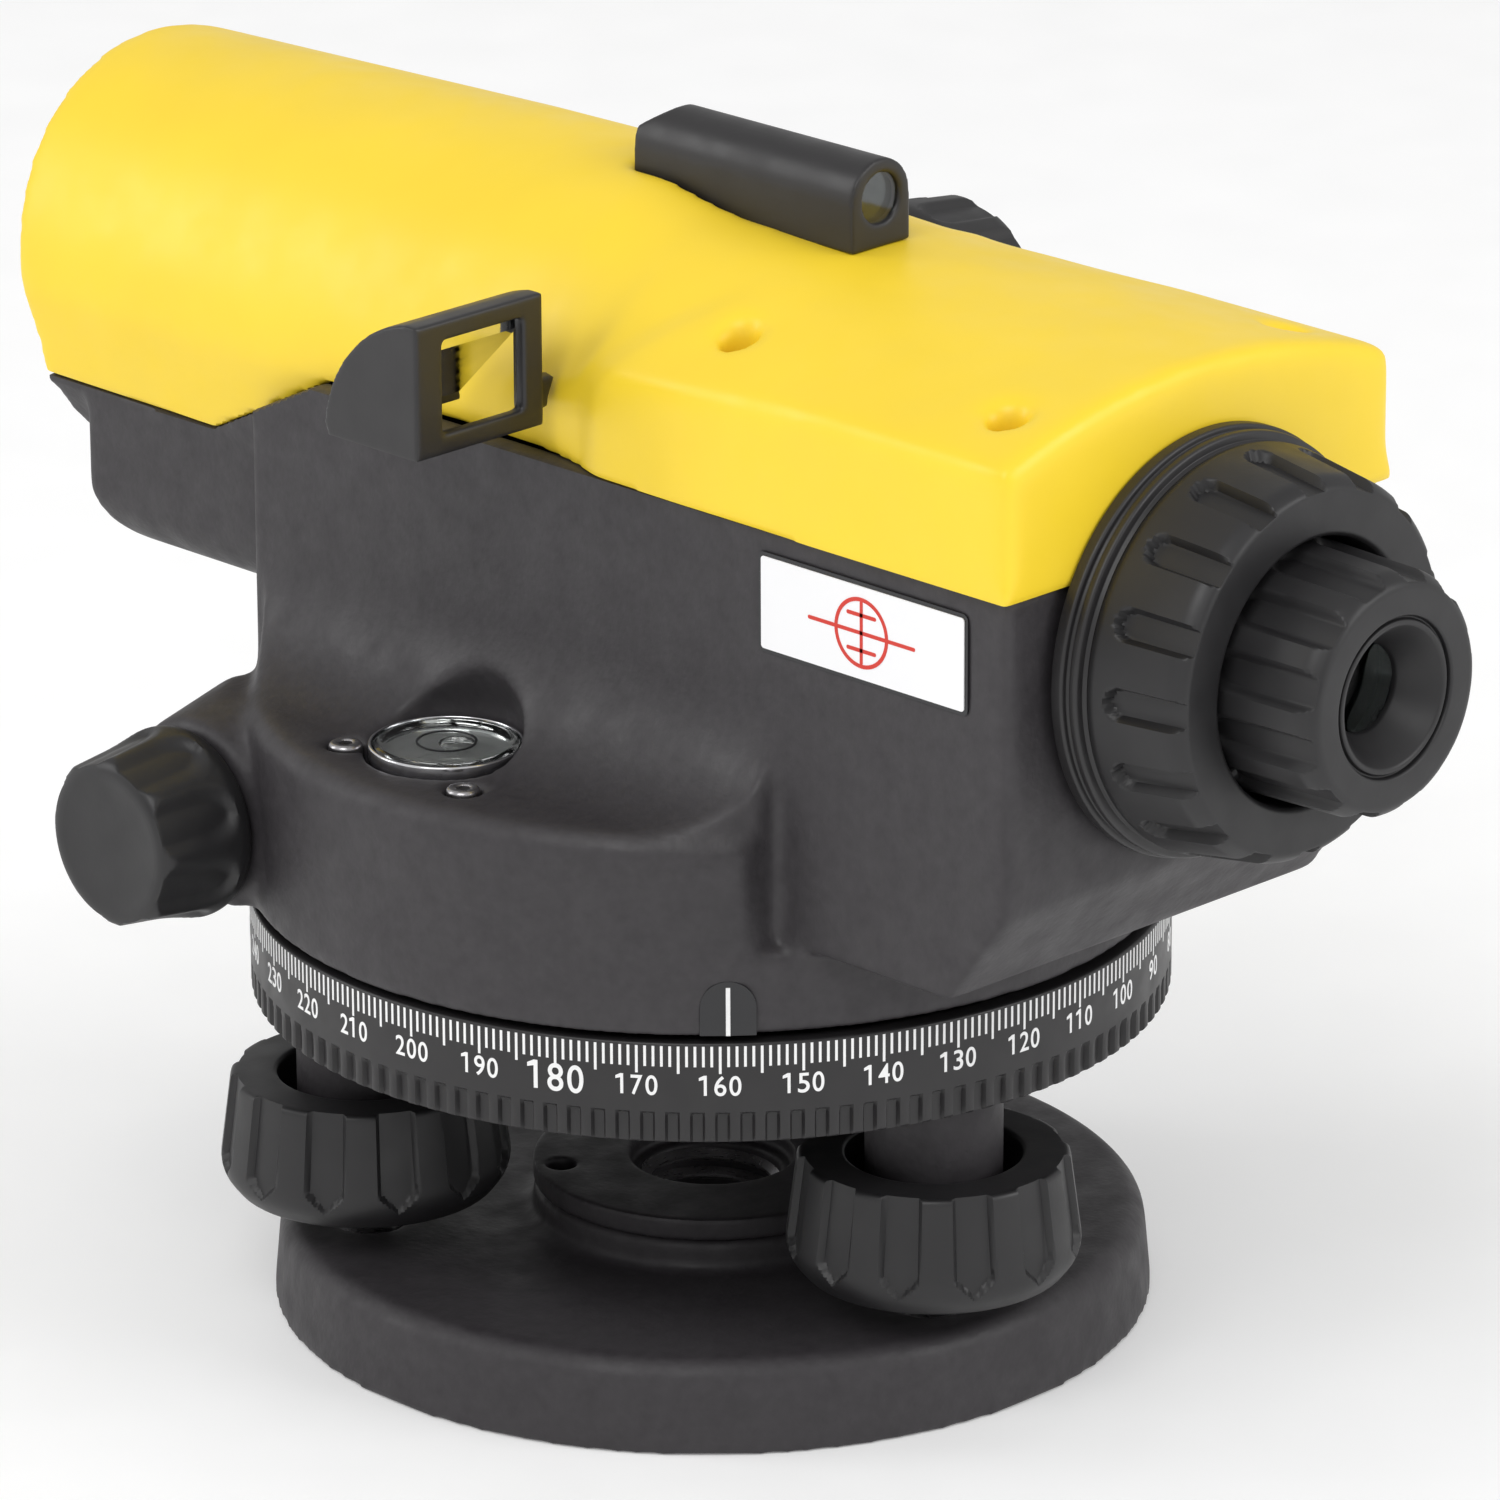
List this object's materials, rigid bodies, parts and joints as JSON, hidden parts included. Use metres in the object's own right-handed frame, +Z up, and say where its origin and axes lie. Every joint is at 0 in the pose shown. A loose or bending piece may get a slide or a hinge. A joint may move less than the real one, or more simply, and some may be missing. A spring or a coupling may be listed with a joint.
{
  "type": "automatic level",
  "caption": "Surveyor's automatic level: telescope in a hooded housing over a graduated circle, on three foot screws and a round tripod base plate.",
  "frame": {"origin": "centre of the base plate's underside, on the axis of the tripod screw's thread", "axes": "+Z up along the standing axis, +Y along the line of sight from the eyepiece to the objective, +X to the user's right (the focusing knob's side)"},
  "size_m": [0.1206, 0.1957, 0.1407],
  "materials": {
    "base_casting": "fine textured powder coat, near black",
    "housing_casting": "fine textured powder coat, warm dark grey",
    "yellow_cover": "satin moulded plastic, yellow",
    "black_plastic": "satin moulded plastic, black",
    "black_rubber": "soft-touch rubber, black",
    "steel": "machined steel",
    "spring_steel": "blued spring steel",
    "brass": "turned brass",
    "bronze": "turned bronze bearing",
    "aluminium": "turned aluminium",
    "black_aluminium": "black anodised",
    "circle_black": "satin black with white print",
    "chrome": "bright chrome",
    "optical_glass": "coated optical glass",
    "vial_glass": "clear ground glass with liquid",
    "mirror_glass": "front-silvered glass",
    "index_print": "black with a white line",
    "label_print": "white film label with dark edge",
    "magnet": "nickel-plated magnet"
  },
  "bodies": {
    "base": {"base_plate": "base_casting", "tripod_thread_bush": "base_casting", "spring_plate": "spring_steel", "spring_plate_screws": "steel"},
    "ball_b": {"foot_ball_b": "steel"},
    "head": {"levelling_head": "base_casting", "axis_bearing": "bronze", "circle_friction_washer": "spring_steel"},
    "ball_a": {"foot_ball_a": "steel"},
    "ball_c": {"foot_ball_c": "steel"},
    "screw_a": {"foot_spindle_a": "steel", "foot_knob_a": "black_rubber"},
    "screw_b": {"foot_spindle_b": "steel", "foot_knob_b": "black_rubber"},
    "screw_c": {"foot_spindle_c": "steel", "foot_knob_c": "black_rubber"},
    "circle": {"circle_ring": "circle_black"},
    "alidade": {"housing": "housing_casting", "top_cover": "yellow_cover", "cover_screws": "steel", "axis_spindle": "steel", "axis_nut": "steel", "sight_body": "black_plastic", "sight_lenses": "optical_glass", "mirror_housing": "black_plastic", "mirror": "mirror_glass", "vial_cup": "chrome", "vial_glass": "vial_glass", "vial_bubble": "vial_glass", "vial_screws": "steel", "index_plate": "index_print", "type_plate": "label_print", "objective_cell": "black_aluminium", "objective_front_lens": "optical_glass", "objective_rear_lens": "optical_glass", "objective_retaining_ring": "black_aluminium", "telescope_tube": "black_aluminium", "focus_bush": "bronze", "deviation_prism": "optical_glass", "compensator_frame": "aluminium", "damper_magnets": "magnet", "eyepiece_collar": "black_aluminium", "reticle_cover": "black_rubber", "reticle_cell": "brass", "reticle_glass": "optical_glass", "drive_bushes": "bronze"},
    "wheel": {"worm_wheel": "bronze"},
    "drive": {"worm_shaft": "steel", "drive_knobs": "black_rubber"},
    "focus_drive": {"focus_shaft": "brass", "focus_knob": "black_rubber"},
    "focusing": {"focusing_cell": "aluminium", "focusing_lens": "optical_glass", "focusing_rack": "brass"},
    "eyepiece": {"eyepiece_barrel": "black_aluminium", "eyepiece_lenses": "optical_glass"},
    "eyepiece_ring": {"eyepiece_knob": "black_rubber"},
    "pendulum": {"compensator_pendulum": "brass", "pendulum_prism": "optical_glass", "suspension_wires": "steel"}
  },
  "joints": [
    {"name": "level_a", "type": "hinge", "parent": "base", "child": "ball_b", "pos_m": [-0.00462, -0.03988, 0.0066], "axis": [0.5962, 0.8028, 0], "range_deg": [-2.38, 2.38]},
    {"name": "level_c", "type": "hinge", "parent": "ball_b", "child": "head", "pos_m": [-0.00462, -0.03988, 0.0066], "axis": [0.3971, -0.9178, 0], "range_deg": [-2.38, 2.38]},
    {"name": "ball_a_lift", "type": "slide", "parent": "head", "child": "ball_a", "axis": [0, 0, 1], "range_m": [-0.0026, 0.0026]},
    {"name": "ball_c_lift", "type": "slide", "parent": "head", "child": "ball_c", "axis": [0, 0, 1], "range_m": [-0.0026, 0.0026]},
    {"name": "foot_screw_a", "type": "hinge", "parent": "ball_a", "child": "screw_a", "pos_m": [-0.03223, 0.02394, 0.02], "axis": [0, 0, 1], "range_deg": [-1230, 1230]},
    {"name": "foot_screw_c", "type": "hinge", "parent": "ball_c", "child": "screw_c", "pos_m": [0.03685, 0.01595, 0.02], "axis": [0, 0, 1], "range_deg": [-1230, 1230]},
    {"name": "foot_screw_b", "type": "hinge", "parent": "head", "child": "screw_b", "pos_m": [-0.00462, -0.03988, 0.02], "axis": [0, 0, 1], "range_deg": [-1200, 1200]},
    {"name": "circle_turn", "type": "hinge", "parent": "head", "child": "circle", "pos_m": [0, 0, 0.046], "axis": [0, 0, 1], "continuous": true},
    {"name": "alidade_turn", "type": "hinge", "parent": "head", "child": "alidade", "pos_m": [0, 0, 0.046], "axis": [0, 0, 1], "continuous": true},
    {"name": "drive_turn", "type": "hinge", "parent": "alidade", "child": "drive", "pos_m": [0, 0.0355, 0.0605], "axis": [1, 0, 0], "continuous": true},
    {"name": "worm_wheel_turn", "type": "hinge", "parent": "alidade", "child": "wheel", "pos_m": [0, 0, 0.0605], "axis": [0, 0, 1], "continuous": true},
    {"name": "focus_turn", "type": "hinge", "parent": "alidade", "child": "focus_drive", "pos_m": [0.035, 0.004, 0.1075], "axis": [1, 0, 0], "range_deg": [-145, 145]},
    {"name": "focusing_slide", "type": "slide", "parent": "alidade", "child": "focusing", "axis": [0, 1, 0], "range_m": [-0.0075, 0.0075]},
    {"name": "eyepiece_slide", "type": "slide", "parent": "alidade", "child": "eyepiece", "axis": [0, 1, 0], "range_m": [-0.002, 0.002]},
    {"name": "eyepiece_turn", "type": "hinge", "parent": "eyepiece", "child": "eyepiece_ring", "pos_m": [0, -0.095, 0.0969], "axis": [0, 1, 0], "range_deg": [-250, 250]},
    {"name": "compensator_swing", "type": "hinge", "parent": "alidade", "child": "pendulum", "pos_m": [0, -0.032, 0.113], "axis": [1, 0, 0], "range_deg": [-0.25, 0.25]}
  ],
  "couplings": [
    {"joint": "ball_a_lift", "follows": "level_a", "m_per_rad": -0.060225},
    {"joint": "foot_screw_a", "follows": "level_a", "ratio": -504.54},
    {"joint": "ball_c_lift", "follows": "level_c", "m_per_rad": -0.060225},
    {"joint": "foot_screw_c", "follows": "level_c", "ratio": -504.54},
    {"joint": "drive_turn", "follows": "worm_wheel_turn", "ratio": 120},
    {"joint": "focus_turn", "follows": "focusing_slide", "rad_per_m": -333.33},
    {"joint": "eyepiece_turn", "follows": "eyepiece_slide", "rad_per_m": 2094.4}
  ]
}
